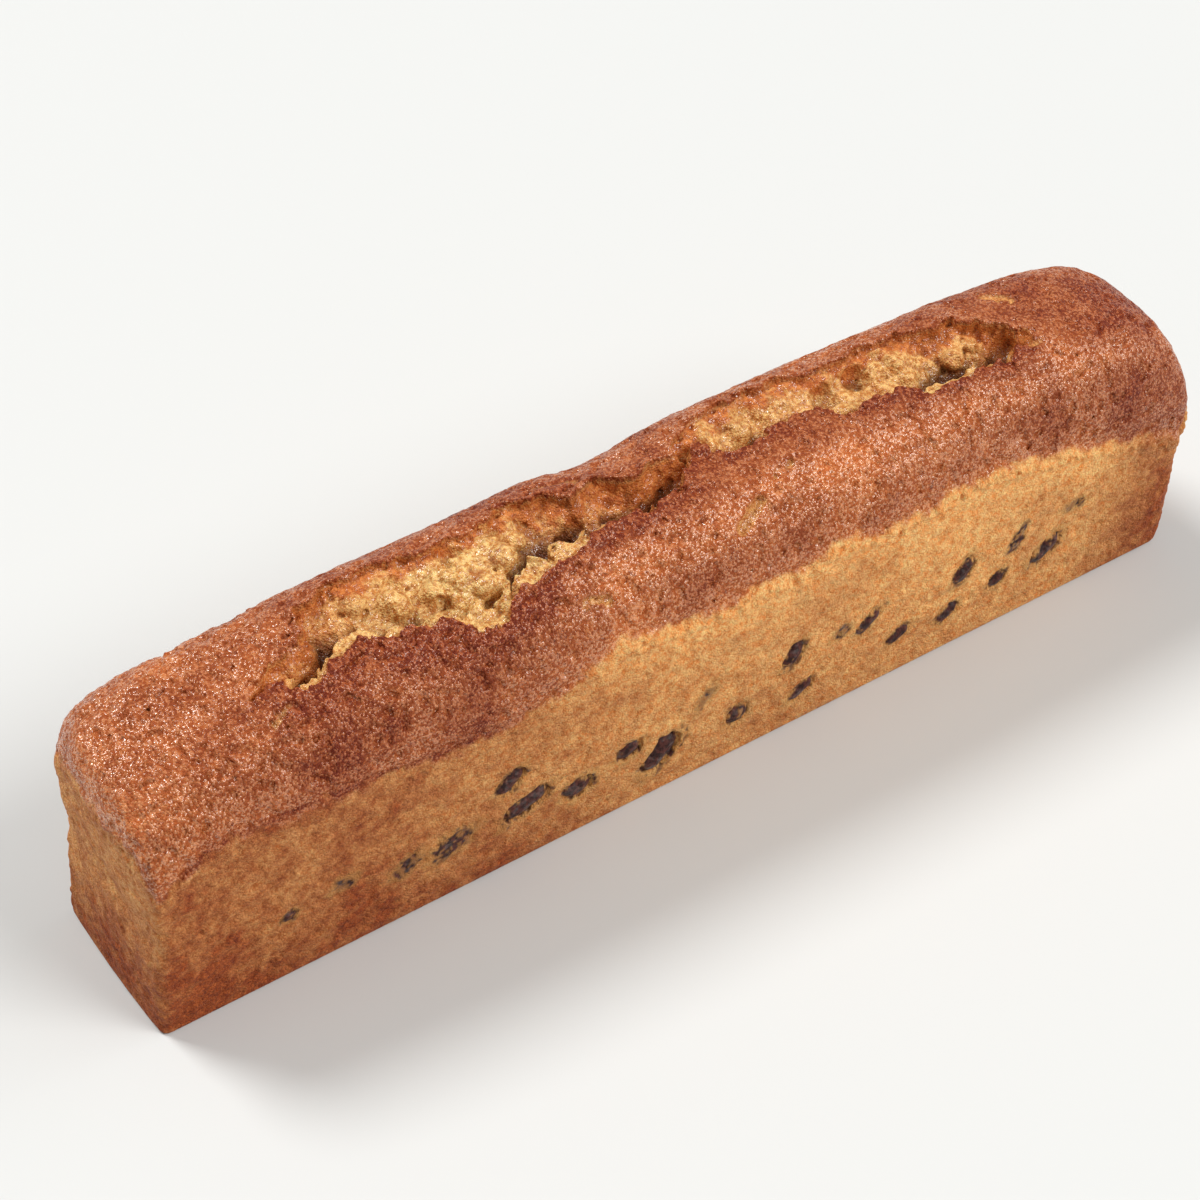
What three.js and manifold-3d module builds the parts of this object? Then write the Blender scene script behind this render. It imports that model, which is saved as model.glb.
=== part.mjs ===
// Pound cake: a slim loaf baked in a long narrow tin. It was baked as one piece, so it is one solid,
// with straight tapered sides from the tin, a risen dome and the long crack that opened along its crown.
// Millimetres, +Z up. The origin is the centre of the flat base, and +X runs along the length.

import * as THREE from 'three';
import { mergeVertices } from 'three/addons/utils/BufferGeometryUtils.js';
import Module from 'manifold-3d';

// The tin's shape
const LENGTH = 250;
const BASE_LENGTH = 247;
const BASE_WIDTH = 35;
const RIM_WIDTH = 42;
const SIDE_BULGE = 1;
const CORNER_RADIUS = 3.5;
const BASE_EDGE_RADIUS = 2;

// The rim is where the side turns into the dome, and the crown is the top of the dome.
// Both sink towards the ends: quickly at the left end (-X), and in a long slope at the right end.
const RIM_HEIGHT = 46;
const CROWN_HEIGHT = 66.5;
const LEFT_END = { rim: 38, crown: 50, rimPower: 4, crownPower: 3, root: 3 };
const RIGHT_END = { rim: 34, crown: 45, rimPower: 4, crownPower: 5, root: 2 };
const DOME_POWER = 2.6;

// The crack, from its left tip to its right tip: where its front and back lips are, and how deep it is
const CRACK = [
  { x: -93, front: -6, back: -4, depth: 1 },
  { x: -84, front: -7, back: -1, depth: 4 },
  { x: -73, front: -4, back: 7, depth: 8 },
  { x: -60, front: -8, back: 9, depth: 9 },
  { x: -47, front: -13, back: 9, depth: 9 },
  { x: -34, front: -10, back: 8, depth: 10 },
  { x: -20, front: -6, back: 7, depth: 9 },
  { x: -6, front: -7, back: 3, depth: 8 },
  { x: 3, front: -4, back: 1, depth: 7 },
  { x: 11, front: 1, back: 6, depth: 6 },
  { x: 24, front: -1, back: 9, depth: 8 },
  { x: 42, front: -4, back: 10, depth: 8 },
  { x: 58, front: -5, back: 10, depth: 8 },
  { x: 74, front: -8, back: 4, depth: 6 },
  { x: 84, front: -9, back: -1, depth: 4 },
  { x: 90, front: -7, back: -5, depth: 1 },
];
const CRACK_FLOOR_SHARE = 0.3;
const CUT_CLEARANCE = 6;

// Grid steps along, across and up
const LOAF_STEPS = [56, 16, 10];
const CRACK_STEPS = [60, 2, 4];

const wasm = await Module();
wasm.setup();

// A closed box whose vertices are moved to place(u, v, w), where u and v run from -1 to 1 and w from 0 to 1
function shapedBox(steps, place) {
  const box = new THREE.BoxGeometry(2, 2, 1, ...steps);
  box.translate(0, 0, 0.5);
  box.deleteAttribute('normal');
  box.deleteAttribute('uv');
  const shape = mergeVertices(box);
  const position = shape.getAttribute('position');
  for (let i = 0; i < position.count; i += 1) {
    const spot = place(position.getX(i), position.getY(i), position.getZ(i));
    position.setXYZ(i, spot.x, spot.y, spot.z);
  }
  return shape;
}

// 1 in the middle of the loaf, falling in a rounded shoulder to 0 at its end
function shoulder(share, power, root) {
  return Math.max(0, 1 - Math.abs(share) ** power) ** (1 / root);
}

// Heights of the rim and the crown at a place along the loaf
function heightsAt(x) {
  const share = x / (LENGTH / 2);
  const end = x < 0 ? LEFT_END : RIGHT_END;
  return {
    rim: THREE.MathUtils.lerp(end.rim, RIM_HEIGHT, shoulder(share, end.rimPower, end.root)),
    crown: THREE.MathUtils.lerp(end.crown, CROWN_HEIGHT, shoulder(share, end.crownPower, end.root)),
  };
}

// Half the width at a place along the loaf and a share of the rim's height
function halfWidthAt(x, rise) {
  const bulge = SIDE_BULGE * (1 - (x / (LENGTH / 2)) ** 2) * Math.sin(0.6 * Math.PI * rise);
  return THREE.MathUtils.lerp(BASE_WIDTH, RIM_WIDTH, rise) / 2 + bulge;
}

// How far a rounded edge of this radius draws back, at this distance from the edge
function drawBack(distance, radius) {
  const inside = Math.max(0, radius - distance);
  return radius - Math.sqrt(radius ** 2 - inside ** 2);
}

// Height of the uncracked top at a share of the half width
function topHeight(x, share) {
  const { rim, crown } = heightsAt(x);
  return THREE.MathUtils.lerp(rim, crown, shoulder(share, DOME_POWER, 2));
}

// The uncracked loaf. Steps crowd towards the ends, the sides and the base, where the shape turns.
function loafPoint(u, v, w) {
  const along = Math.sin((u * Math.PI) / 2);
  const across = Math.sin((v * Math.PI) / 2);
  const rise = w ** 2;
  const halfLength = THREE.MathUtils.lerp(BASE_LENGTH, LENGTH, rise) / 2;
  const roughX = along * halfLength;
  const z = rise * topHeight(roughX, across);
  const baseEdge = drawBack(z, BASE_EDGE_RADIUS);
  const halfWidth = halfWidthAt(roughX, rise) - baseEdge;
  const fromSide = (1 - Math.abs(across)) * halfWidth;
  const x = along * (halfLength - baseEdge - drawBack(fromSide, CORNER_RADIUS));
  return new THREE.Vector3(x, across * halfWidth, z);
}

const frontLip = new THREE.SplineCurve(CRACK.map((spot) => new THREE.Vector2(spot.x, spot.front)));
const backLip = new THREE.SplineCurve(CRACK.map((spot) => new THREE.Vector2(spot.x, spot.back)));
const depthLine = new THREE.SplineCurve(CRACK.map((spot) => new THREE.Vector2(spot.x, spot.depth)));

// The solid that cuts the crack: narrow at its floor, as wide as the lips at the surface
function crackPoint(u, v, w) {
  const travel = (u + 1) / 2;
  const front = frontLip.getPoint(travel);
  const back = backLip.getPoint(travel);
  const depth = depthLine.getPoint(travel).y;
  const floor = heightsAt(front.x).crown - depth;
  const opening = THREE.MathUtils.lerp(CRACK_FLOOR_SHARE, 1, Math.min(1, 2 * w) ** 0.7);
  const middle = (front.y + back.y) / 2;
  const y = middle + (v * opening * (back.y - front.y)) / 2;
  return new THREE.Vector3(front.x, y, floor + 2 * w * depth + Math.max(0, 2 * w - 1) * CUT_CLEARANCE);
}

function toSolid(geometry) {
  const vertProperties = geometry.getAttribute('position').array;
  const triVerts = new Uint32Array(geometry.getIndex().array);
  return new wasm.Manifold(new wasm.Mesh({ numProp: 3, vertProperties, triVerts }));
}

function toGeometry(solid) {
  const mesh = solid.getMesh();
  const geometry = new THREE.BufferGeometry();
  geometry.setAttribute('position', new THREE.BufferAttribute(mesh.vertProperties, 3));
  geometry.setIndex(new THREE.BufferAttribute(mesh.triVerts, 1));
  return geometry;
}

function makePoundCake() {
  const loaf = toSolid(shapedBox(LOAF_STEPS, loafPoint));
  const crack = toSolid(shapedBox(CRACK_STEPS, crackPoint));
  const crust = new THREE.MeshStandardMaterial({ color: 0xb8703c, roughness: 0.55, metalness: 0 });
  const cake = new THREE.Mesh(toGeometry(loaf.subtract(crack)), crust);
  cake.name = 'pound_cake';
  return cake;
}

const model = new THREE.Group();
model.add(makePoundCake());

export default model;
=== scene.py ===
"""Looks of the pound cake: a slim tin-baked loaf with a torn crack along its crown.

The loaf is shaped as a distance field in millimetres, negative inside it, and meshed at its zero level.
Each vertex then gets masks, such as how much it is crust, crumb or raisin, which the material reads.
"""
import math

import bpy
import numpy as np
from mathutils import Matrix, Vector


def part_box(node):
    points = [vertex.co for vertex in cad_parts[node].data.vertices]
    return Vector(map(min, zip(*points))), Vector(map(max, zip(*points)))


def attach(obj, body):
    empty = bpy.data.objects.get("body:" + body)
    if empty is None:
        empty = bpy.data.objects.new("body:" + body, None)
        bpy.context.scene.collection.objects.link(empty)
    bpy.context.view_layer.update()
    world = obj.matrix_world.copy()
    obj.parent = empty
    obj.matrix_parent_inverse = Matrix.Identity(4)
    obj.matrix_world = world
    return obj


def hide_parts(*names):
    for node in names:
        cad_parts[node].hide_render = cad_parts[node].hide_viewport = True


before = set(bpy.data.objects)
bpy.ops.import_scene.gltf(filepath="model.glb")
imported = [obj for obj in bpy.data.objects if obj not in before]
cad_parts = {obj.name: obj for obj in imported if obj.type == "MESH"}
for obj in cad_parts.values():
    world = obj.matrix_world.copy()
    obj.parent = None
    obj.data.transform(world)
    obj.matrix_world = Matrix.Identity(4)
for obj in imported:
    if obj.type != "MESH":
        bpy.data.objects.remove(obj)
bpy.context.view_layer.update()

import openvdb
from mathutils import Matrix, Vector

MM = 0.001

# The loaf's driving dimensions, in millimetres, from the CAD node
node_low, node_high = (np.array(corner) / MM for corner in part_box("pound_cake"))
HALF_LENGTH = node_high[0]
HALF_WIDTH = node_high[1]
CROWN = node_high[2]
HALF_BASE_WIDTH = HALF_WIDTH - 3.0
SIDE_BULGE = 0.9
RIM = 0.69 * CROWN
# Each end's reach at its base and at its rim, how far it tucks in below the rim, the heights of its rim
# and crown, how late the two fall from their heights in the middle, and how abruptly they end
LEFT_END = {
    "base": HALF_LENGTH + 0.2, "reach": HALF_LENGTH - 0.5, "tuck": 0.8,
    "rim": 38, "crown": 51, "rim_power": 4, "crown_power": 3, "root": 3,
}
RIGHT_END = {
    "base": HALF_LENGTH - 1.0, "reach": HALF_LENGTH - 0.4, "tuck": 0.2,
    "rim": 34, "crown": 46.5, "rim_power": 4, "crown_power": 7, "root": 2,
}
# The dome's roundness across, which is fuller behind the crack apart from one dip: place along, reach
FRONT_POWER = 2.6
BACK_POWER = 3.6
DIP_POWER = 2.0
DIP = (-7, 12)
FRONT_LEFT_RADIUS = 1.8
BACK_LEFT_RADIUS = 7.5
RIGHT_RADIUS = 4.5
BASE_EDGE_RADIUS = 0.8

# The grid's spacing, how far it reaches past the loaf, how far from the surface its distances are kept,
# and how near the surface the relief is added
VOXEL = 0.4
MARGIN = 3.0
BAND = 3.0
RELIEF_BAND = 1.6

# How many random values the noise has each way before it repeats, and how far they are spread
NOISE_CELLS = 32
NOISE_SPREAD = 1.6

# The crack, from its left tip to its right tip. Each line holds a place along the loaf, where the front
# crust is torn, where the slot opens, where the back crust is torn, how deep the slot is, how far crumb
# fills the crack behind it, and how toasted that crumb is.
CRACK = np.array([
    (-94, -6.5, -6.0, -5.5, 0.5, 0.0, 1.0),
    (-89, -6.5, -6.0, -2.5, 4.0, 0.0, 0.9),
    (-84, -10.5, -7.3, -1.0, 6.0, 0.0, 0.7),
    (-79, -9.3, -6.3, 1.0, 8.0, 0.0, 0.7),
    (-75, -6.8, -3.7, 8.0, 10.0, 0.1, 0.6),
    (-71, -5.6, -2.8, 9.0, 10.0, 0.3, 0.5),
    (-66, -8.5, -4.0, 10.0, 6.0, 0.5, 0.25),
    (-60, -8.5, -5.0, 9.5, 6.0, 0.5, 0.15),
    (-54, -9.5, -7.0, 9.0, 6.0, 0.4, 0.1),
    (-50, -14.0, -8.5, 7.0, 5.0, 0.5, 0.0),
    (-44, -15.0, -8.5, 7.5, 5.0, 0.6, 0.0),
    (-40, -12.5, -8.0, 6.5, 6.0, 0.6, 0.1),
    (-35, -11.0, -6.0, 8.0, 11.0, 0.4, 0.1),
    (-30, -10.0, -5.5, 9.0, 13.0, 0.3, 0.2),
    (-24, -9.0, -5.5, 8.0, 13.0, 0.1, 0.6),
    (-18, -6.5, -5.0, 4.0, 13.0, 0.0, 0.7),
    (-10, -7.0, -6.5, 5.5, 12.0, 0.0, 0.7),
    (-4, -7.0, -6.5, 2.0, 12.0, 0.0, 0.8),
    (0, -5.5, -5.0, 2.5, 11.0, 0.0, 0.8),
    (4, -3.0, -2.5, 3.5, 8.0, 0.0, 0.8),
    (8, 1.0, 1.5, 5.0, 3.0, 0.2, 0.7),
    (12, 3.0, 3.5, 7.5, 4.0, 0.5, 0.4),
    (15, -2.0, -1.0, 9.0, 5.0, 0.5, 0.2),
    (20, -3.0, -2.0, 10.0, 5.0, 0.4, 0.2),
    (27, -1.0, -0.5, 10.5, 6.0, 0.3, 0.25),
    (37, -1.5, -1.0, 11.0, 5.0, 0.4, 0.3),
    (42, -6.0, -4.0, 8.0, 6.0, 0.3, 0.2),
    (48, -5.0, -4.0, 8.0, 6.0, 0.3, 0.2),
    (54, -4.5, -4.0, 9.5, 6.0, 0.4, 0.25),
    (59, -9.5, -5.5, 8.5, 6.0, 0.4, 0.2),
    (68, -9.0, -5.5, 7.0, 8.0, 0.3, 0.3),
    (78, -9.0, -7.5, 4.5, 8.0, 0.2, 0.4),
    (83, -8.5, -6.5, 1.5, 9.0, 0.0, 0.8),
    (87, -7.0, -5.0, -3.5, 3.0, 0.0, 0.9),
    (89, -6.0, -5.5, -5.0, 0.5, 0.0, 1.0),
])
# How far the shelf in front of the slot drops, how thick the crust is where it is torn, and how wide the
# coarse and the fine clumps of the crumb are
SHELF_DROP = 1.5
CRUST_THICKNESS = 0.8
COARSE_CLUMP = 4.6
FINE_CLUMP = 1.7

# Lumps of crumb that stand up in the crack, and hollows in it: along, across, how deep, radius
LUMPS = [
    (-47, -1, 2.6, 3.2),
    (-43, -4.5, 3.0, 2.4),
    (-37, -1, 2.6, 3.2),
    (-32, 2, 2.8, 2.2),
    (-66, 5, 3.2, 2.8),
    (-59, 0, 3.4, 2.6),
    (22, 4, 3.0, 2.6),
    (33, 6, 3.0, 2.4),
    (60, 3, 3.4, 2.6),
    (72, -1, 4.0, 2.6),
]
HOLLOWS = [
    (-74, -1.8, 3.5, 2.4),
    (-45, 5.0, 1.6, 2.0),
    (-57, 4.5, 2.4, 2.0),
    (-66, -1.0, 3.2, 1.8),
    (-52, -4.0, 3.4, 1.6),
    (26, 6.5, 2.2, 2.2),
    (42, 3.0, 3.0, 2.4),
    (51, 4.5, 3.0, 2.6),
    (83, -3.5, 4.0, 2.2),
]
# Short cracks in the crust: along and across at both ends, and radius
FISSURES = [
    (14, -14.2, 8, -16.8, 1.4),
    (-28, -16.6, -23.5, -17.3, 0.45),
    (-23, 11.6, -14, 8.0, 0.6),
    (88, 9.0, 92, 6.0, 0.7),
    (-89, -10.8, -91.5, -12.4, 0.8),
    (86, -8.2, 89, -8.0, 0.7),
    (20, -10.5, 26, -9.6, 0.4),
]
# Pits in the crust: along, across and radius
PITS = [(82.5, -17.5, 0.7), (86, -18, 0.7), (78, -18.2, 0.6), (100, -20, 0.7), (53, -18, 0.5)]
RANDOM_PITS = 150

# Height of the line between the brown dome and the golden side along the front: place along, height
FRONT_LINE = np.array([
    (-125, 36), (-111, 46), (-90, 46), (-74, 44), (-56, 42), (-40, 43.5), (-29, 47), (-22, 51), (-8, 47),
    (10, 47.5), (22, 47), (29, 50.5), (40, 47), (60, 48), (69, 49), (90, 43.5), (118, 34), (125, 30),
])

# How golden the long sides are: place along, share
SIDE_GOLD = np.array([
    (-125, 0.2), (-60, 0.3), (-30, 0.6), (0, 0.78), (95, 0.82), (112, 0.34), (125, 0.12),
])

# Raisins in the front side: along, height, length, width, tilt in degrees, and how far they show
FRONT_RAISINS = [
    (-97, 18, 3.5, 2.6, 20, 0.8),
    (-85, 20, 5.0, 3.4, 10, 0.45),
    (-71, 16, 6.5, 4.1, 25, 0.6),
    (-61, 16, 9.5, 5.1, 25, 0.7),
    (-48, 26, 7.5, 4.2, 45, 0.9),
    (-44, 17, 10.5, 4.7, 22, 1.0),
    (-32, 14, 7.0, 5.5, 12, 1.0),
    (-20, 18, 6.0, 4.2, 33, 1.0),
    (-12, 12, 11.0, 6.0, 52, 1.0),
    (-2, 23, 6.0, 3.4, 45, 0.35),
    (7, 12, 5.5, 4.7, 35, 0.8),
    (20, 22, 6.5, 4.2, 60, 1.0),
    (23, 10, 6.5, 3.1, 35, 1.0),
    (32, 22, 5.0, 3.0, 20, 0.5),
    (39, 21, 7.0, 3.1, 42, 0.8),
    (48, 12, 6.0, 3.6, 30, 1.0),
    (61, 11, 6.0, 3.6, 32, 0.95),
    (64, 22, 7.0, 4.2, 65, 0.9),
    (74, 14, 4.5, 3.6, 38, 0.95),
    (78, 24, 7.0, 3.0, 65, 0.7),
    (87, 16, 8.5, 4.4, 40, 0.95),
    (93, 26, 5.5, 2.8, 0, 0.5),
]
BACK_RAISIN_COUNT = 20
# A raisin that shows at least this far sits in a pocket of its own
POCKET_SHOWS = 0.75


# Blends and noise

def ramp(value, start, end):
    """0 at the start, 1 at the end, smooth in between and level outside."""
    share = np.clip((value - start) / (end - start), 0, 1)
    return share * share * (3 - 2 * share)


def lerp(a, b, share):
    """The value this share of the way from the first to the second."""
    return a + (b - a) * share


def bell(value, width):
    """1 at zero, falling smoothly to almost 0 two widths away."""
    return np.exp(-(value / width) ** 2)


def noise(x, y, z, size, seed):
    """Smooth random values, nearly all from -1 to 1, whose lumps are about this many millimetres wide."""
    cells = NOISE_CELLS
    table = np.random.default_rng(seed).uniform(-1, 1, (cells, cells, cells)).astype(np.float32)
    lower, upper, share = [], [], []
    turned = (x + 0.31 * y - 0.23 * z, y + 0.27 * z - 0.29 * x, z + 0.25 * x - 0.33 * y)
    for value in turned:
        place = np.asarray(value, np.float32) / size
        whole = np.floor(place)
        part = place - whole
        lower.append(whole.astype(np.int32) % cells)
        upper.append((whole.astype(np.int32) + 1) % cells)
        share.append(part * part * (3 - 2 * part))
    total = 0
    for corner in range(8):
        picks = [(corner >> axis) & 1 for axis in range(3)]
        index = tuple(upper[axis] if picks[axis] else lower[axis] for axis in range(3))
        weight = 1
        for axis in range(3):
            weight = weight * (share[axis] if picks[axis] else 1 - share[axis])
        total = total + table[index] * weight
    return NOISE_SPREAD * total


def clumps(x, y, z, size, seed):
    """Rounded clumps about this many millimetres wide: 0 in the middle of one, about 1 in the creases."""
    cells = NOISE_CELLS
    spots = np.random.default_rng(seed).uniform(0, 1, (cells, cells, cells, 3)).astype(np.float32)
    place = np.stack([x, y, z], axis=-1).astype(np.float32) / size
    whole = np.floor(place).astype(np.int32)
    nearest = np.full(place.shape[:-1], 9, np.float32)
    for step in np.ndindex(3, 3, 3):
        cell = whole + np.array(step, np.int32) - 1
        spot = cell + spots[tuple(np.moveaxis(cell % cells, -1, 0))]
        nearest = np.minimum(nearest, ((spot - place) ** 2).sum(-1))
    return np.sqrt(nearest)


def layered(x, y, z, size, seed):
    """Noise with two finer and fainter layers of noise added to it."""
    total = 0
    for layer in range(3):
        total = total + noise(x, y, z, size / 2 ** layer, seed + layer) / 2 ** layer
    return total


# The loaf's shape

def shoulder(share, power, root):
    """1 in the middle, falling in a rounded shoulder to 0 at the edge."""
    return np.clip(1 - np.abs(share) ** power, 0, 1) ** (1 / root)


def heights_at(x):
    """Heights of the rim and the crown along the loaf."""
    share = x / HALF_LENGTH
    both = []
    for key, middle in (("rim", RIM), ("crown", CROWN - 0.6)):
        sides = [
            lerp(end[key], middle, shoulder(share, end[key + "_power"], end["root"]))
            for end in (LEFT_END, RIGHT_END)
        ]
        both.append(np.where(x < 0, *sides))
    return both


def half_width_at(x, z):
    """Reach of the long sides, which lean out and bulge a little between the base and the rim."""
    rise = np.clip(z / RIM, 0, 1)
    bulge = SIDE_BULGE * (1 - (x / HALF_LENGTH) ** 2) * np.sin(0.6 * np.pi * rise)
    return lerp(HALF_BASE_WIDTH, HALF_WIDTH - SIDE_BULGE, rise) + bulge


def half_length_at(x, y, z):
    """Reach of the end faces, which tuck in a little under the rim."""
    reach = 0
    for side, end in ((x < 0, LEFT_END), (x >= 0, RIGHT_END)):
        slope = lerp(end["base"], end["reach"], np.clip(z / end["rim"], 0, 1))
        tuck = end["tuck"] * bell(z - 0.72 * end["rim"], 5)
        reach = reach + side * (slope - tuck)
    return reach - 0.8 * (y / HALF_WIDTH) ** 2


def dome_power_at(x, y):
    """How square the dome is across."""
    place, reach = DIP
    back = lerp(BACK_POWER, DIP_POWER, bell(x - place, reach))
    return np.where(y < 0, FRONT_POWER, back)


def dome_at(x, y):
    """Height of the uncracked top."""
    rim, crown = heights_at(x)
    return lerp(rim, crown, shoulder(y / half_width_at(x, RIM), dome_power_at(x, y), 2))


def corner_radius_at(x, y, z):
    """Radius of the upright edges: crisp at the front left, and roundest at the rim of the back left."""
    left = lerp(FRONT_LEFT_RADIUS, BACK_LEFT_RADIUS, ramp(y, 4, 16) * ramp(z, 4, LEFT_END["rim"]))
    return np.where(x < 0, left, RIGHT_RADIUS)


def at_end(x):
    """1 on the end faces and 0 along the loaf, with a short blend between them."""
    return ramp(np.abs(x), HALF_LENGTH - 4, HALF_LENGTH - 1)


def crust_line_at(x, y):
    """Height where the brown dome ends and the golden side begins, at the sides and the two ends."""
    rim, _ = heights_at(x)
    back = rim + 1.5 * noise(x, 0 * x, 0 * x, 14, 30)
    side = np.where(y < 0, np.interp(x, FRONT_LINE[:, 0], FRONT_LINE[:, 1]), back)
    end = dome_at(np.sign(x) * HALF_LENGTH, y) - 2
    return lerp(side, end, at_end(x))


def rounded_edge(a, b, radius):
    """The field inside both shapes, with the edge between them rounded."""
    outside = np.hypot(np.maximum(a + radius, 0), np.maximum(b + radius, 0))
    return np.minimum(np.maximum(a, b) + radius, 0) + outside - radius


def loaf_field(x, y, z):
    """Distance from the uncracked loaf on a grid with one axis array for each direction."""
    rim, crown = heights_at(x)
    across = (np.abs(y) / half_width_at(x, z)) ** dome_power_at(x, y)
    above = (np.maximum(z - rim, 0) / (crown - rim)) ** 2
    level = (across + above - 1).astype(np.float32)
    slope = np.sqrt(sum(part ** 2 for part in np.gradient(level, VOXEL)))
    around = level / np.maximum(slope, 0.02)
    body = rounded_edge(around, np.abs(x) - half_length_at(x, y, z), corner_radius_at(x, y, z))
    return rounded_edge(body, -z, BASE_EDGE_RADIUS)


class Crack:
    """The crack's lines at places seen from above, with torn, wandering edges."""

    def __init__(self, x, y):
        zero = 0 * x + 0 * y
        along = x + 1.3 * layered(x, y, zero, 5, 50)
        across = y + 0.9 * layered(x, y, zero, 3.2, 60)
        places = CRACK[:, 0]
        lines = [np.interp(along, places, CRACK[:, line]) for line in range(1, 7)]
        front, slot, back, depth, fill, self.toast = lines
        self.inside_front = across - front
        self.inside_back = back - across
        self.within = ramp(along, places[0], places[0] + 3) * ramp(-along, -places[-1], 3 - places[-1])
        behind = np.clip(self.inside_back / np.maximum(back - slot, 0.1), 0, 1)
        floor = CRUST_THICKNESS + depth * lerp(behind ** 0.9, behind ** 5, fill)
        across_shelf = np.clip(self.inside_front / np.maximum(slot - front, 0.1), 0, 1)
        shelf = CRUST_THICKNESS + SHELF_DROP * across_shelf
        is_open = (self.inside_front > 0) & (self.inside_back > 0) & (self.within > 0)
        self.on_shelf = across < slot
        self.below = np.where(is_open, np.where(self.on_shelf, shelf, floor), 0)

    def lip(self):
        """How far the crust curls up beside the crack."""
        front = 0.45 * np.exp(np.minimum(self.inside_front, 0) / 2)
        back = 0.8 * np.exp(np.minimum(self.inside_back, 0) / 2.5)
        outside = np.where(self.inside_front < 0, front, back)
        return np.where(self.below > 0, 0, outside * self.within)


def crumb_clumps(place):
    """Coarse and fine clumps of the torn crumb, about -0.5 in their middles and 0.5 in the creases."""
    warp = 0.6 * noise(*place, 2.4, 71)
    x, y, z = place
    coarse = clumps(x + warp, y - warp, z + warp, COARSE_CLUMP, 72)
    fine = clumps(x, y, z, FINE_CLUMP, 73)
    return coarse - 0.55, fine - 0.55


def dome_pebbles(place, beads):
    """The dome's fine lumps, which are coarser near the left end."""
    left = ramp(-place[0], 60, 95)
    return lerp(0.1, 0.22, left) * noise(*place, 2.6, 82) + lerp(0.22, 0.5, left) * beads


def side_grains(place, beads):
    """The sides' fine grains."""
    return 0.12 * noise(*place, 2.4, 84) + 0.1 * noise(*place, 1.0, 85) + 0.4 * beads


def corner_crumbs(place, line):
    """Where crumbs have come off the upright corners below the dome."""
    x, y, _ = place
    end = ramp(np.abs(x), HALF_LENGTH - 3, HALF_LENGTH - 1)
    corner = end * ramp(np.abs(y), HALF_WIDTH - 6, HALF_WIDTH - 3)
    return 0.5 * corner * ramp(-line, 0, 4) * ramp(noise(*place, 2.4, 87), 0.1, 0.9)


def ridge_under_dome(place, line):
    """The lumpy ridge along the sides just below the dome, which is faint near the left end."""
    ridge = lerp(0.15, 0.7, ramp(place[0], -40, -10)) * bell(line + 2.0, 2.2)
    strip = ridge > 0.02
    ridge[strip] *= 2.0 - 2.4 * clumps(*[axis[strip] for axis in place], 1.9, 86)
    return ridge


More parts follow.
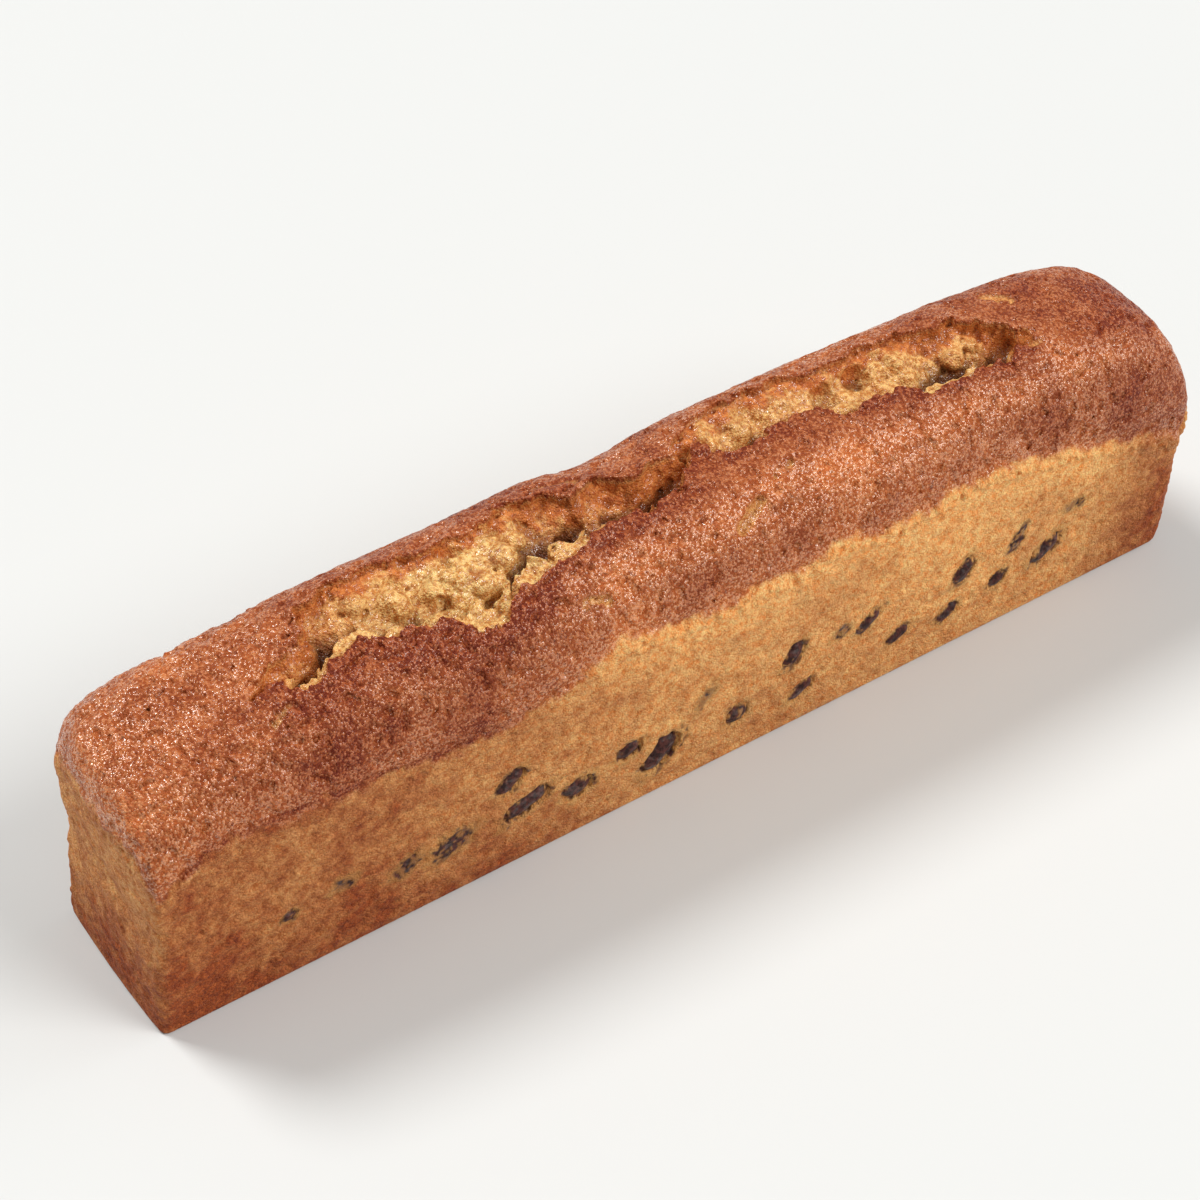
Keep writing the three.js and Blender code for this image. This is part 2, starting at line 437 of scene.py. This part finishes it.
class Field:
    """The loaf's distance field on its grid."""

    def __init__(self):
        self.low = node_low - MARGIN
        counts = np.ceil((node_high + MARGIN - self.low) / VOXEL).astype(int)
        axes = [self.low[axis] + VOXEL * np.arange(counts[axis]) for axis in range(3)]
        self.x, self.y, self.z = np.meshgrid(*axes, indexing="ij", sparse=True)
        self.value = np.clip(loaf_field(self.x, self.y, self.z), -BAND, BAND).astype(np.float32)

    def places(self, chosen):
        """The coordinates of the chosen grid points."""
        return [np.broadcast_to(axis, self.value.shape)[chosen] for axis in (self.x, self.y, self.z)]

    def cut_crack(self):
        """Lowers the top to the crack's floor, with lumpy torn crumb there and curled lips beside it."""
        crack = Crack(self.x, self.y)
        rim, _ = heights_at(self.x)
        self.value -= crack.lip() * ramp(self.z, rim, rim + 3)
        floor = dome_at(self.x, self.y) - crack.below
        steps = np.gradient(floor[:, :, 0], VOXEL)
        steepness = np.sqrt(1 + np.minimum(steps[0] ** 2 + steps[1] ** 2, 4))[:, :, None]
        distance = np.clip((self.z - floor) / steepness, -BAND, BAND)
        cut = np.broadcast_to(crack.below > 0, self.value.shape) & (distance > -BAND)
        coarse, fine = crumb_clumps(self.places(cut))
        rough = ramp(crack.below, CRUST_THICKNESS, 1.8) * np.clip(1.15 - 1.3 * crack.toast, 0, 1)
        rough = np.broadcast_to(rough, self.value.shape)[cut]
        ragged = 1.2 * noise(*self.places(cut), 6, 75) + 0.12 * noise(*self.places(cut), 1.0, 74)
        torn = distance[cut] + rough * (2.8 * coarse + ragged) + lerp(0.3, 0.75, rough) * fine
        self.value[cut] = np.maximum(self.value[cut], torn)

    def around(self, low, high):
        """The slices of the grid between two corners."""
        first = np.maximum(np.floor((np.array(low) - self.low) / VOXEL).astype(int), 0)
        last = np.ceil((np.array(high) - self.low) / VOXEL).astype(int) + 1
        return tuple(slice(first[axis], last[axis]) for axis in range(3))

    def blend(self, start, end, radius, dig, soft=0.8):
        """Digs a round-ended groove between two points, or adds a ridge there."""
        start, end = np.array(start, float), np.array(end, float)
        reach = radius + 2
        box = self.around(np.minimum(start, end) - reach, np.maximum(start, end) + reach)
        place = (self.x[box[0]] - start[0], self.y[:, box[1]] - start[1], self.z[:, :, box[2]] - start[2])
        line = end - start
        share = sum(place[axis] * line[axis] for axis in range(3)) / max(line @ line, 1e-6)
        share = np.clip(share, 0, 1)
        away = np.sqrt(sum((place[axis] - share * line[axis]) ** 2 for axis in range(3))) - radius
        here = self.value[box]
        side = 1 if dig else -1
        other = -side * away
        gap = np.clip(0.5 + 0.5 * side * (other - here) / soft, 0, 1)
        self.value[box] = lerp(here, other, gap) + side * soft * gap * (1 - gap)

    def relief(self):
        """Adds the uneven surface of the crust and the sides near the zero level."""
        near = np.abs(self.value) < RELIEF_BAND
        place = self.places(near)
        x, y, z = place
        line = z - crust_line_at(x, y)
        dome = ramp(line, -1, 1.5)
        beads = clumps(*place, 1.6, 89) - 0.5
        waves = 0.3 * noise(*place, 24, 80) + 0.12 * noise(*place, 8, 81)
        dimples = lerp(0.3, 0.6, dome) * ramp(noise(*place, 1.7, 88), 0.4, 0.9)
        tuck = 0.25 * bell(line - 1.2, 1.2)
        bumps = waves + lerp(side_grains(place, beads), dome_pebbles(place, beads), dome) + dimples
        bumps = bumps + corner_crumbs(place, line) + tuck - ridge_under_dome(place, line)
        above_base = ramp(z, 0.3, 2.5)
        self.value[near] += above_base * bumps

    def mesh_arrays(self):
        """The points and the quads of the surface at the zero level."""
        grid = openvdb.FloatGrid(BAND)
        grid.copyFromArray(np.ascontiguousarray(self.value))
        points, _, quads = grid.convertToPolygons(isovalue=0.0, adaptivity=0.0)
        return whole_piece(points * VOXEL + self.low, quads[:, ::-1].astype(np.int64))


def whole_piece(points, faces):
    """Keeps the loaf and drops any bubbles in it and crumbs that came loose from it."""
    label = np.arange(len(points))
    while True:
        lowest = label[faces].min(1)
        lower = label.copy()
        for corner in range(4):
            np.minimum.at(lower, faces[:, corner], lowest)
        lower = lower[lower]
        if (lower == label).all():
            break
        label = lower
    kept = label == np.bincount(label).argmax()
    order = np.cumsum(kept) - 1
    return points[kept], order[faces[kept[faces[:, 0]]]]


def on_dome(x, y, depth=0.0):
    """A point this deep under the uncracked top."""
    return (x, y, float(dome_at(np.array(x), np.array(y))) - depth)


def on_side(x, z, front, depth):
    """A point this deep under the front or the back side."""
    away = float(half_width_at(np.array(x), np.array(z))) - depth
    return (x, -away if front else away, z)


def back_raisins():
    """Raisins for the back side, scattered in the same band as the front's."""
    random = np.random.default_rng(7)
    spots = []
    for place in np.linspace(-105, 105, BACK_RAISIN_COUNT):
        spots.append((
            place + random.uniform(-4, 4),
            random.uniform(8, 27),
            random.uniform(4.5, 9),
            random.uniform(3.2, 5.0),
            random.uniform(-60, 60),
            random.choice([1.0, 0.9, 0.6, 0.4]),
        ))
    return spots


def press_raisins(field, raisins, front):
    """Sets the raisins that show well into pockets in the side."""
    for x, z, length, width, tilt, shows in raisins:
        if shows < POCKET_SHOWS:
            continue
        half = (length - width) / 2
        run = half * math.cos(math.radians(tilt))
        climb = half * math.sin(math.radians(tilt))
        pocket = width / 2 + 0.3
        raisin = 0.6 * width
        for radius, depth, dig in ((pocket, 0, True), (raisin, raisin - 0.25, False)):
            low = on_side(x - run, z - climb, front, depth)
            high = on_side(x + run, z + climb, front, depth)
            field.blend(low, high, radius, dig, soft=0.2)


def dig_pits(field):
    """Digs the pits of PITS and more of them at random, each as a short groove."""
    random = np.random.default_rng(3)
    scattered = zip(
        random.triangular(-120, -105, 118, RANDOM_PITS),
        random.uniform(-19, 19, RANDOM_PITS),
        random.uniform(0.3, 0.6, RANDOM_PITS),
    )
    for x, y, radius in [*PITS, *scattered]:
        run = random.uniform(-1.2, 1.2)
        shift = random.uniform(-0.5, 0.5)
        field.blend(on_dome(x - run, y - shift), on_dome(x + run, y + shift), radius, dig=True, soft=0.7)


def shape_loaf():
    """The points and the quads of the whole loaf, in millimetres."""
    field = Field()
    field.cut_crack()
    for spots, dig in ((LUMPS, False), (HOLLOWS, True)):
        for x, y, depth, radius in spots:
            field.blend(on_dome(x, y, depth), on_dome(x, y, depth), radius, dig, soft=1.2)
    for x0, y0, x1, y1, radius in FISSURES:
        field.blend(on_dome(x0, y0), on_dome(x1, y1), radius, dig=True)
    field.relief()
    dig_pits(field)
    press_raisins(field, FRONT_RAISINS, front=True)
    press_raisins(field, back_raisins(), front=False)
    return field.mesh_arrays()


# Masks for the material

def raisin_masks(x, y, z, below_line):
    """Where raisins show, and how far the crumb round them is stained."""
    wobble = 0.2 * layered(x, y, z, 1.6, 94)
    speckle = noise(x, y, z, 0.9, 97)
    on_side_face = (np.abs(x) < HALF_LENGTH - 3) & below_line
    raisin = np.zeros(len(x))
    stain = np.zeros(len(x))
    for raisins, face in ((FRONT_RAISINS, y < 0), (back_raisins(), y >= 0)):
        here = np.flatnonzero(face & on_side_face)
        for at, height, length, width, tilt, shows in raisins:
            close = here[(np.abs(x[here] - at) < length) & (np.abs(z[here] - height) < length)]
            angle = math.radians(tilt)
            away_x, away_z = x[close] - at, z[close] - height
            run = away_x * math.cos(angle) + away_z * math.sin(angle)
            climb = away_z * math.cos(angle) - away_x * math.sin(angle)
            reach = np.hypot(run / (length / 2), climb / (width / 2)) + wobble[close]
            skin = ramp(1.6 * shows - 0.7 + 0.5 * speckle[close], 0, 0.3)
            veiled = 0.5 * (1 - ramp(reach, 0.5, 1.2))
            bare = np.maximum(skin * (1 - ramp(reach, 0.85, 1.05)), veiled)
            specks = 0.8 * ramp(speckle[close], 0.45, 0.7) * (1 - ramp(reach, 1.2, 1.6)) * shows
            raisin[close] = np.maximum(raisin[close], np.maximum(bare, specks))
            stain[close] = np.maximum(stain[close], 1 - ramp(reach, 0.9, 2.2))
    return raisin, stain


def fissure_mask(x, y):
    """Where the short cracks are, seen from above."""
    mask = np.zeros(len(x))
    for x0, y0, x1, y1, radius in FISSURES:
        share = ((x - x0) * (x1 - x0) + (y - y0) * (y1 - y0)) / ((x1 - x0) ** 2 + (y1 - y0) ** 2)
        share = np.clip(share, 0, 1)
        away = np.hypot(x - lerp(x0, x1, share), y - lerp(y0, y1, share))
        mask = np.maximum(mask, 1 - ramp(away, radius, radius + 0.8))
    return mask


def crumb_masks(points, crack, drop):
    """Where torn crumb shows, how toasted it is, and how much painted shade its creases get."""
    x, y, z = points.T
    inside = np.minimum(crack.inside_front, crack.inside_back)
    torn = np.where(crack.below > 0, np.maximum(ramp(inside, 0, 0.5), ramp(drop, 0.2, 0.8)), 0)
    in_fissure = fissure_mask(x, y) * ramp(drop, 0.3, 1.0)
    crumb = np.where(z < 0.6 * RIM, 0, np.maximum(torn, in_fissure))

    under_edge = 1 - ramp(crack.inside_back + 1.5 * layered(x, y, z, 3, 92), 0.3, 4)
    front_edge = 1 - ramp(crack.inside_front + 0.4 * noise(x, y, z, 1.5, 93), 0.1, 1.0)
    along = crack.toast * np.where(crack.on_shelf, 0.3, 1)
    toast = crumb * np.clip(np.maximum(under_edge, 0.6 * front_edge) + along, 0, 1)
    toast = np.where(crack.below > 0, toast, 0.6 * crumb)

    # How much painted shade falls in the creases between the crumb's clumps.
    crease_shade = np.zeros(len(x))
    shows = crumb > 0
    coarse, fine = crumb_clumps(points[shows].T)
    crease_shade[shows] = ramp(0.9 * coarse + 0.8 * fine, -0.1, 0.6)
    return crumb, toast, crease_shade


def bake_and_light_mask(points, crack, line):
    """How dark the dome is baked, with painted light laid over it: darkest beside the crack; paler along
    its lower edge, partly thinner crust and partly painted sheen; a painted sheen on its front shoulder
    and at the left end; and a painted shade line under its tucked edge at the left.
    """
    x, y, z = points.T
    patches = 0.18 * noise(x, y, z, 20, 95) + 0.14 * noise(x, y, z, 6, 96) + 0.1 * noise(x, y, z, 2.4, 99)
    fade = lerp(6, 10, ramp(x, -30, 0))
    near_crack = crack.within * np.where(crack.inside_front < 0, np.exp(crack.inside_front / fade), 0)
    # Painted shade: a darker line where the dome's lower edge tucks over the side at the left.
    ledge_shade = 0.5 * ramp(-x, 30, 60) * (1 - at_end(x)) * bell(line - 0.8, 1.0)
    # Painted sheen: paler crust along the front shoulder, where the front light's highlight falls.
    painted_sheen = 0.42 * bell(y + 14.5, 4) * ramp(x, -40, -10)
    # Darker towards the right end, and paler towards the left end, where the paling is a painted sheen.
    ends = 0.35 * ramp(x, 90, 115) - 0.22 * ramp(-x, 80, 105)
    # Paler just above the golden side: partly thinner crust and partly painted sheen.
    pale_rim_and_sheen = lerp(0.1, 0.5, ramp(x, -50, 0)) * np.exp(-np.maximum(line, 0) / 6)
    bake_and_painted_light = 0.62 + patches + ledge_shade + 0.5 * near_crack - painted_sheen + ends - pale_rim_and_sheen
    return np.clip(bake_and_painted_light, 0, 1)


def gold_mask(points, line):
    """How golden the sides are: yellow under the dome, browner towards the base and the ends."""
    x, y, z = points.T
    along = np.interp(x, SIDE_GOLD[:, 0], SIDE_GOLD[:, 1])
    along = along + 0.12 * np.where(y < 0, 0, ramp(-x, 40, 80))
    on_end = 0.28 + 0.2 * ramp(z, 12, 32)
    base = 0.24 * (1 - ramp(z, -6, 30))
    mottle = 0.08 * noise(x, y, z, 18, 98) + 0.1 * noise(x, y, z, 4, 100) + 0.08 * noise(x, y, z, 1.6, 101)
    yellow = 0.4 * ramp(x, -50, 0) * (1 - ramp(x, 95, 112)) * ramp(line, -12, -1)
    return np.clip(lerp(along, on_end, at_end(x)) - base + mottle + yellow, 0, 1)


def masks_of(points):
    """Every mask that the material reads, by name."""
    x, y, z = points.T
    crack = Crack(x, y)
    drop = dome_at(x, y) - z
    line = z - crust_line_at(x, y)
    crumb, toast, crease_shade = crumb_masks(points, crack, drop)
    raisin, stain = raisin_masks(x, y, z, line < -2)
    return {
        "crust": ramp(line + 0.9 * layered(x, y, z, 3, 91), -0.9, 1.1),
        "crumb": crumb,
        "toast": toast,
        "crease_shade": crease_shade,
        # Painted shade for the crumb deep in the crack.
        "deep": crumb * ramp(drop, 3, 8.5),
        "bake_and_painted_light": bake_and_light_mask(points, crack, line),
        "gold": gold_mask(points, line),
        "raisin": raisin,
        "stain": stain,
    }


# Mesh and its map for baking

# Which faces a chart takes: a side's, up to this far above the rim; the base's, up to this far above it;
# and an end's, up to this far in from the very end
ABOVE_RIM = 4.0
ABOVE_BASE = 0.6
FROM_END = 2.2
# On the map: the height of a long side, half of the unrolled dome, where the right end starts, and the gap
# between two charts
SIDE_CHART = RIM + ABOVE_RIM + 1
DOME_CHART = 37
RIGHT_CHART = 80
CHART_GAP = 2.0


def dome_arc(share):
    """How far this share of the dome's half width is from the crown once the dome is unrolled."""
    return 29 * share * (1 + 0.25 * share ** 4)


def bake_charts(points, faces):
    """Which side of the loaf each face belongs to, and its corners' places on each side's chart."""
    corners = points[faces]
    x, y, z = np.moveaxis(corners, -1, 0)
    arc = dome_arc(np.clip(y / half_width_at(x, RIM), -1, 1))
    ends_up = y + 2 * SIDE_CHART + 4 * CHART_GAP + 2 * DOME_CHART + 3 * HALF_WIDTH
    charts = {
        "front": (x + HALF_LENGTH, z),
        "top": (x + HALF_LENGTH, arc + SIDE_CHART + CHART_GAP + DOME_CHART),
        "back": (x + HALF_LENGTH, z + SIDE_CHART + 2 * CHART_GAP + 2 * DOME_CHART),
        "base": (x + HALF_LENGTH, y + 2 * SIDE_CHART + 3 * CHART_GAP + 2 * DOME_CHART + HALF_WIDTH),
        "left": (z + CHART_GAP, ends_up),
        "right": (z + RIGHT_CHART, ends_up),
    }
    middle_x, middle_y, middle_z = corners.mean(1).T
    rim, _ = heights_at(middle_x)
    chart = np.where(middle_y < 0, "front", "back")
    chart = np.where(middle_z > rim + ABOVE_RIM, "top", chart)
    chart = np.where(middle_z < ABOVE_BASE, "base", chart)
    end = np.where(middle_x < 0, "left", "right")
    return np.where(np.abs(middle_x) > HALF_LENGTH - FROM_END, end, chart), charts


def bake_map(mesh, points, faces):
    """Lays the front, top, back, base and ends out side by side, one millimetre the same size on each."""
    chart, charts = bake_charts(points, faces)
    map_size = 2 * SIDE_CHART + 6 * CHART_GAP + 2 * DOME_CHART + 4 * HALF_WIDTH
    uv = np.zeros((*faces.shape, 2), np.float32)
    for name, (across, up) in charts.items():
        here = chart == name
        uv[here, :, 0] = (across[here] + CHART_GAP) / map_size
        uv[here, :, 1] = (up[here] + CHART_GAP) / map_size
    layer = mesh.uv_layers.new(name="OFBake")
    layer.uv.foreach_set("vector", uv.ravel())


def quad_mesh(name, points, faces):
    """A smooth mesh of four-sided faces."""
    mesh = bpy.data.meshes.new(name)
    mesh.vertices.add(len(points))
    mesh.vertices.foreach_set("co", points.astype(np.float32).ravel())
    mesh.loops.add(faces.size)
    mesh.loops.foreach_set("vertex_index", faces.astype(np.int32).ravel())
    mesh.polygons.add(len(faces))
    mesh.polygons.foreach_set("loop_start", np.arange(0, faces.size, 4, dtype=np.int32))
    mesh.update(calc_edges=True)
    mesh.shade_smooth()
    return mesh


def make_loaf():
    """Adds the whole loaf, with its masks, map and material, in the CAD loaf's place."""
    points, faces = shape_loaf()
    mesh = quad_mesh("loaf", points * MM, faces)
    for name, values in masks_of(points).items():
        attribute = mesh.attributes.new(name, "FLOAT", "POINT")
        attribute.data.foreach_set("value", values.astype(np.float32))
    bake_map(mesh, points, faces)
    mesh.materials.append(loaf_material())
    loaf = bpy.data.objects.new("loaf", mesh)
    bpy.context.collection.objects.link(loaf)
    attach(loaf, "root")
    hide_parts("pound_cake")


# Material

def srgb(red, green, blue):
    """A colour as seen on screen, from 0 to 255, as linear light."""
    values = np.array([red, green, blue]) / 255
    linear = np.where(values <= 0.04045, values / 12.92, ((values + 0.055) / 1.055) ** 2.4)
    return (*linear.tolist(), 1.0)


class Nodes:
    """Adds nodes to a material and gives back their output sockets."""

    def __init__(self, name):
        self.material = bpy.data.materials.new(name)
        self.material.use_nodes = True
        self.tree = self.material.node_tree
        self.tree.nodes.clear()
        self.place = self.add("ShaderNodeTexCoord").outputs["Object"]

    def add(self, kind, inputs=None, **settings):
        """A node whose inputs are linked to sockets or set to values."""
        node = self.tree.nodes.new(kind)
        for key, value in settings.items():
            setattr(node, key, value)
        for key, value in (inputs or {}).items():
            if isinstance(value, bpy.types.NodeSocket):
                self.tree.links.new(value, node.inputs[key])
            else:
                node.inputs[key].default_value = value
        return node

    def mask(self, name):
        """One of the masks stored on the vertices."""
        return self.add("ShaderNodeAttribute", attribute_name=name).outputs["Fac"]

    def cells(self, size):
        """Granules about this many millimetres across: a random value for each, and the distance from
        its middle."""
        node = self.add("ShaderNodeTexVoronoi", {"Vector": self.place, "Scale": 1 / (size * MM)})
        return node.outputs["Color"], node.outputs["Distance"]

    def noise(self, size, detail, roughness):
        """Noise with lumps about this many millimetres wide."""
        inputs = {"Vector": self.place, "Scale": 1 / (size * MM), "Detail": detail, "Roughness": roughness}
        return self.add("ShaderNodeTexNoise", inputs).outputs["Fac"]

    def ramp(self, value, start, end, low=0.0, high=1.0):
        """Low at the start, high at the end, smooth in between and level outside."""
        inputs = {"Value": value, "From Min": start, "From Max": end, "To Min": low, "To Max": high}
        return self.add("ShaderNodeMapRange", inputs, interpolation_type="SMOOTHSTEP").outputs["Result"]

    def math(self, operation, first, second):
        return self.add("ShaderNodeMath", {0: first, 1: second}, operation=operation).outputs[0]

    def mix(self, share, first, second):
        inputs = {0: share, 6: first, 7: second}
        return self.add("ShaderNodeMix", inputs, data_type="RGBA").outputs[2]


def crust_colour(n, grain, sugar_and_glints):
    """Baked dome: orange-tan at its edge, dark red-brown beside the crack, with the painted sheen and
    shade of its baking mask, and pale dots on the granule tops that are partly sugary grains and partly
    painted glints.
    """
    bake_and_painted_light = n.mask("bake_and_painted_light")
    low = n.mix(bake_and_painted_light, srgb(190, 98, 44), srgb(108, 34, 8))
    high = n.mix(bake_and_painted_light, srgb(230, 148, 88), srgb(164, 78, 30))
    colour = n.mix(grain, low, high)
    speck = n.ramp(n.noise(1.5, 2, 0.6), 0.62, 0.72, 0.0, 0.5)
    colour = n.mix(speck, colour, srgb(96, 30, 9))
    return n.mix(sugar_and_glints, colour, srgb(228, 166, 122))


def side_colour(n, grain):
    """Golden side: yellow under the dome, browner towards the base and the ends, crumbly."""
    gold = n.mask("gold")
    crumbs = n.ramp(n.noise(1.7, 4, 0.65), 0.32, 0.68)
    shade = n.math("ADD", n.math("MULTIPLY", crumbs, 0.5), n.math("MULTIPLY", grain, 0.5))
    low = n.mix(gold, srgb(116, 46, 18), srgb(236, 142, 66))
    high = n.mix(gold, srgb(180, 92, 44), srgb(255, 210, 138))
    pore = n.ramp(n.noise(1.1, 2, 0.6), 0.60, 0.70, 0.0, 0.45)
    return n.mix(pore, n.mix(shade, low, high), n.mix(gold, srgb(92, 36, 14), srgb(206, 112, 46)))


def crumb_colour(n):
    """Torn crumb: pale yellow and toasted by the crust, with painted shade that is orange-brown in its
    creases and dark deep in the slot.
    """
    soft = n.ramp(n.noise(0.9, 4, 0.6), 0.35, 0.65)
    pale = n.mix(soft, srgb(196, 126, 56), srgb(248, 208, 136))
    brown = n.mix(soft, srgb(176, 90, 40), srgb(218, 134, 68))
    colour = n.mix(n.mask("toast"), pale, brown)
    # Painted shade in the crumb's creases.
    colour = n.mix(n.ramp(n.mask("crease_shade"), 0.0, 1.0, 0.0, 0.75), colour, srgb(156, 76, 20))
    # Painted shade, darkest deep in the slot.
    return n.mix(n.ramp(n.mask("deep"), 0.0, 1.0, 0.0, 0.9), colour, srgb(84, 34, 9))


def raisin_colour(n):
    """Wrinkled purple-brown skin."""
    wrinkle = n.ramp(n.noise(1.2, 4, 0.6), 0.4, 0.65)
    return n.mix(wrinkle, srgb(44, 16, 15), srgb(88, 44, 38))


def cake_colour(n, granule, away, soft):
    """Side, crust, torn crumb and raisins, laid over each other in that order."""
    grain = n.ramp(n.math("ADD", granule, soft), 0.7, 1.35)
    # Pale dots on the granule tops: partly sugary grains, partly painted glints.
    sugar_and_glints = n.math("MULTIPLY", n.ramp(granule, 0.62, 0.72, 0.0, 0.22), n.ramp(away, 0.55, 0.25))
    colour = n.mix(n.mask("crust"), side_colour(n, grain), crust_colour(n, grain, sugar_and_glints))
    colour = n.mix(n.mask("crumb"), colour, crumb_colour(n))
    stain = n.ramp(n.mask("stain"), 0.0, 1.0, 0.0, 0.45)
    colour = n.mix(stain, colour, srgb(182, 138, 78))
    return n.mix(n.mask("raisin"), colour, raisin_colour(n))


def cake_height(n, granule, away, soft):
    """Granules, and wrinkles on the raisins."""
    grains = n.math("ADD", n.math("SUBTRACT", soft, away), n.math("MULTIPLY", granule, 0.5))
    wrinkle = n.math("MULTIPLY", n.noise(1.8, 2, 0.5), 3.0)
    return n.add("ShaderNodeMix", {0: n.mask("raisin"), 2: grains, 3: wrinkle}).outputs[0]


def cake_gloss(n, granule):
    """Shiny granules on the crust and moist crumb, duller where baked dark, and glints on the raisins."""
    moist = n.math("MAXIMUM", n.mask("crust"), n.math("MULTIPLY", n.mask("crumb"), 0.6))
    gloss = n.math("MULTIPLY", moist, n.ramp(granule, 0.4, 0.65, 0.0, 1.0))
    gloss = n.math("MULTIPLY", gloss, n.ramp(n.mask("bake_and_painted_light"), 0.4, 0.9, 1.0, 0.4))
    glint = n.math("MULTIPLY", n.mask("raisin"), n.ramp(n.noise(1.6, 2, 0.5), 0.52, 0.62, 0.06, 0.6))
    return n.math("MAXIMUM", gloss, glint)


def loaf_material():
    """The loaf's one material: a little translucent, with granules that stand out and catch the light."""
    n = Nodes("baked_cake")
    granule, away = n.cells(0.45)
    soft = n.noise(0.8, 3, 0.6)
    height = cake_height(n, granule, away, soft)
    bump = n.add("ShaderNodeBump", {"Height": height, "Strength": 1.0, "Distance": 0.3 * MM})
    glaze = n.add("ShaderNodeBump", {"Height": height, "Strength": 1.0, "Distance": 0.12 * MM})
    rough = n.ramp(n.mask("crust"), 0.0, 1.0, 0.65, 0.5)
    shader = n.add("ShaderNodeBsdfPrincipled", {
        "Base Color": cake_colour(n, granule, away, soft),
        "Roughness": n.ramp(n.mask("raisin"), 0.0, 1.0, rough, 0.5),
        "Normal": bump.outputs["Normal"],
        "Specular IOR Level": 0.2,
        "Coat Weight": cake_gloss(n, granule),
        "Coat Roughness": 0.18,
        "Coat IOR": 1.7,
        "Coat Normal": glaze.outputs["Normal"],
        "Subsurface Weight": 0.12,
        "Subsurface Radius": (1.0, 0.45, 0.2),
        "Subsurface Scale": 1.5 * MM,
    })
    n.add("ShaderNodeOutputMaterial", {"Surface": shader.outputs["BSDF"]})
    return n.material


# Stage, light and camera

def make_floor():
    """A plain pale floor that reaches far past the view."""
    mesh = bpy.data.meshes.new("floor")
    reach = 20.0
    corners = [(-reach, -reach, 0), (reach, -reach, 0), (reach, reach, 0), (-reach, reach, 0)]
    mesh.from_pydata(corners, [], [(0, 1, 2, 3)])
    n = Nodes("pale_floor")
    shader = n.add("ShaderNodeBsdfPrincipled", {"Base Color": srgb(208, 210, 210), "Roughness": 0.75})
    n.add("ShaderNodeOutputMaterial", {"Surface": shader.outputs["BSDF"]})
    mesh.materials.append(n.material)
    floor = bpy.data.objects.new("floor", mesh)
    bpy.context.collection.objects.link(floor)


def make_sun(name, towards, spread, strength, colour):
    """A soft light from one direction that covers this many degrees of the sky."""
    data = bpy.data.lights.new(name, "SUN")
    data.angle = math.radians(spread)
    data.energy = strength
    data.color = colour
    sun = bpy.data.objects.new(name, data)
    sun.rotation_euler = Vector(towards).to_track_quat("Z", "Y").to_euler()
    bpy.context.collection.objects.link(sun)


def make_sky(tree):
    """A faint even light from all round, which looks pale behind the loaf."""
    sky = tree.nodes["Background"]
    sky.inputs["Color"].default_value = (1.0, 0.97, 0.93, 1.0)
    path = tree.nodes.new("ShaderNodeLightPath")
    strength = tree.nodes.new("ShaderNodeMapRange")
    strength.inputs["To Min"].default_value = 0.34
    strength.inputs["To Max"].default_value = 0.85
    tree.links.new(path.outputs["Is Camera Ray"], strength.inputs["Value"])
    tree.links.new(strength.outputs["Result"], sky.inputs["Strength"])


def make_studio():
    """Soft daylight from a window behind the loaf, with fainter light from its front and its right."""
    scene = bpy.context.scene
    scene.view_settings.view_transform = "Standard"
    scene.world = bpy.data.worlds.new("studio")
    scene.world.use_nodes = True
    make_sky(scene.world.node_tree)
    daylight = (1.0, 0.99, 0.97)
    make_sun("window", (-0.23, 0.53, 0.82), 20, 2.3, daylight)
    make_sun("fill", (0.41, -0.59, 0.70), 30, 1.9, daylight)
    make_sun("side_fill", (0.85, -0.15, 0.50), 40, 0.6, daylight)


def make_camera():
    """Looks along the loaf from its front left, at the photograph's angle."""
    data = bpy.data.cameras.new("camera")
    data.sensor_width = 36
    data.lens = 93.1
    yaw, pitch, roll = math.radians(34.55), math.radians(44.34), math.radians(0.63)
    aim = Vector((-0.068 * HALF_LENGTH, 0.33 * HALF_WIDTH, 0.46 * CROWN)) * MM
    distance = 4.98 * HALF_LENGTH * MM
    forward = Vector((math.sin(yaw) * math.cos(pitch), math.cos(yaw) * math.cos(pitch), -math.sin(pitch)))
    right = Vector((math.cos(yaw), -math.sin(yaw), 0))
    up = right.cross(forward)
    turn = Matrix((right, up, -forward)).transposed() @ Matrix.Rotation(roll, 3, "Z")
    camera = bpy.data.objects.new("camera", data)
    camera.matrix_world = Matrix.Translation(aim - forward * distance) @ turn.to_4x4()
    bpy.context.collection.objects.link(camera)
    bpy.context.scene.camera = camera


make_camera()
make_studio()
make_floor()
make_loaf()
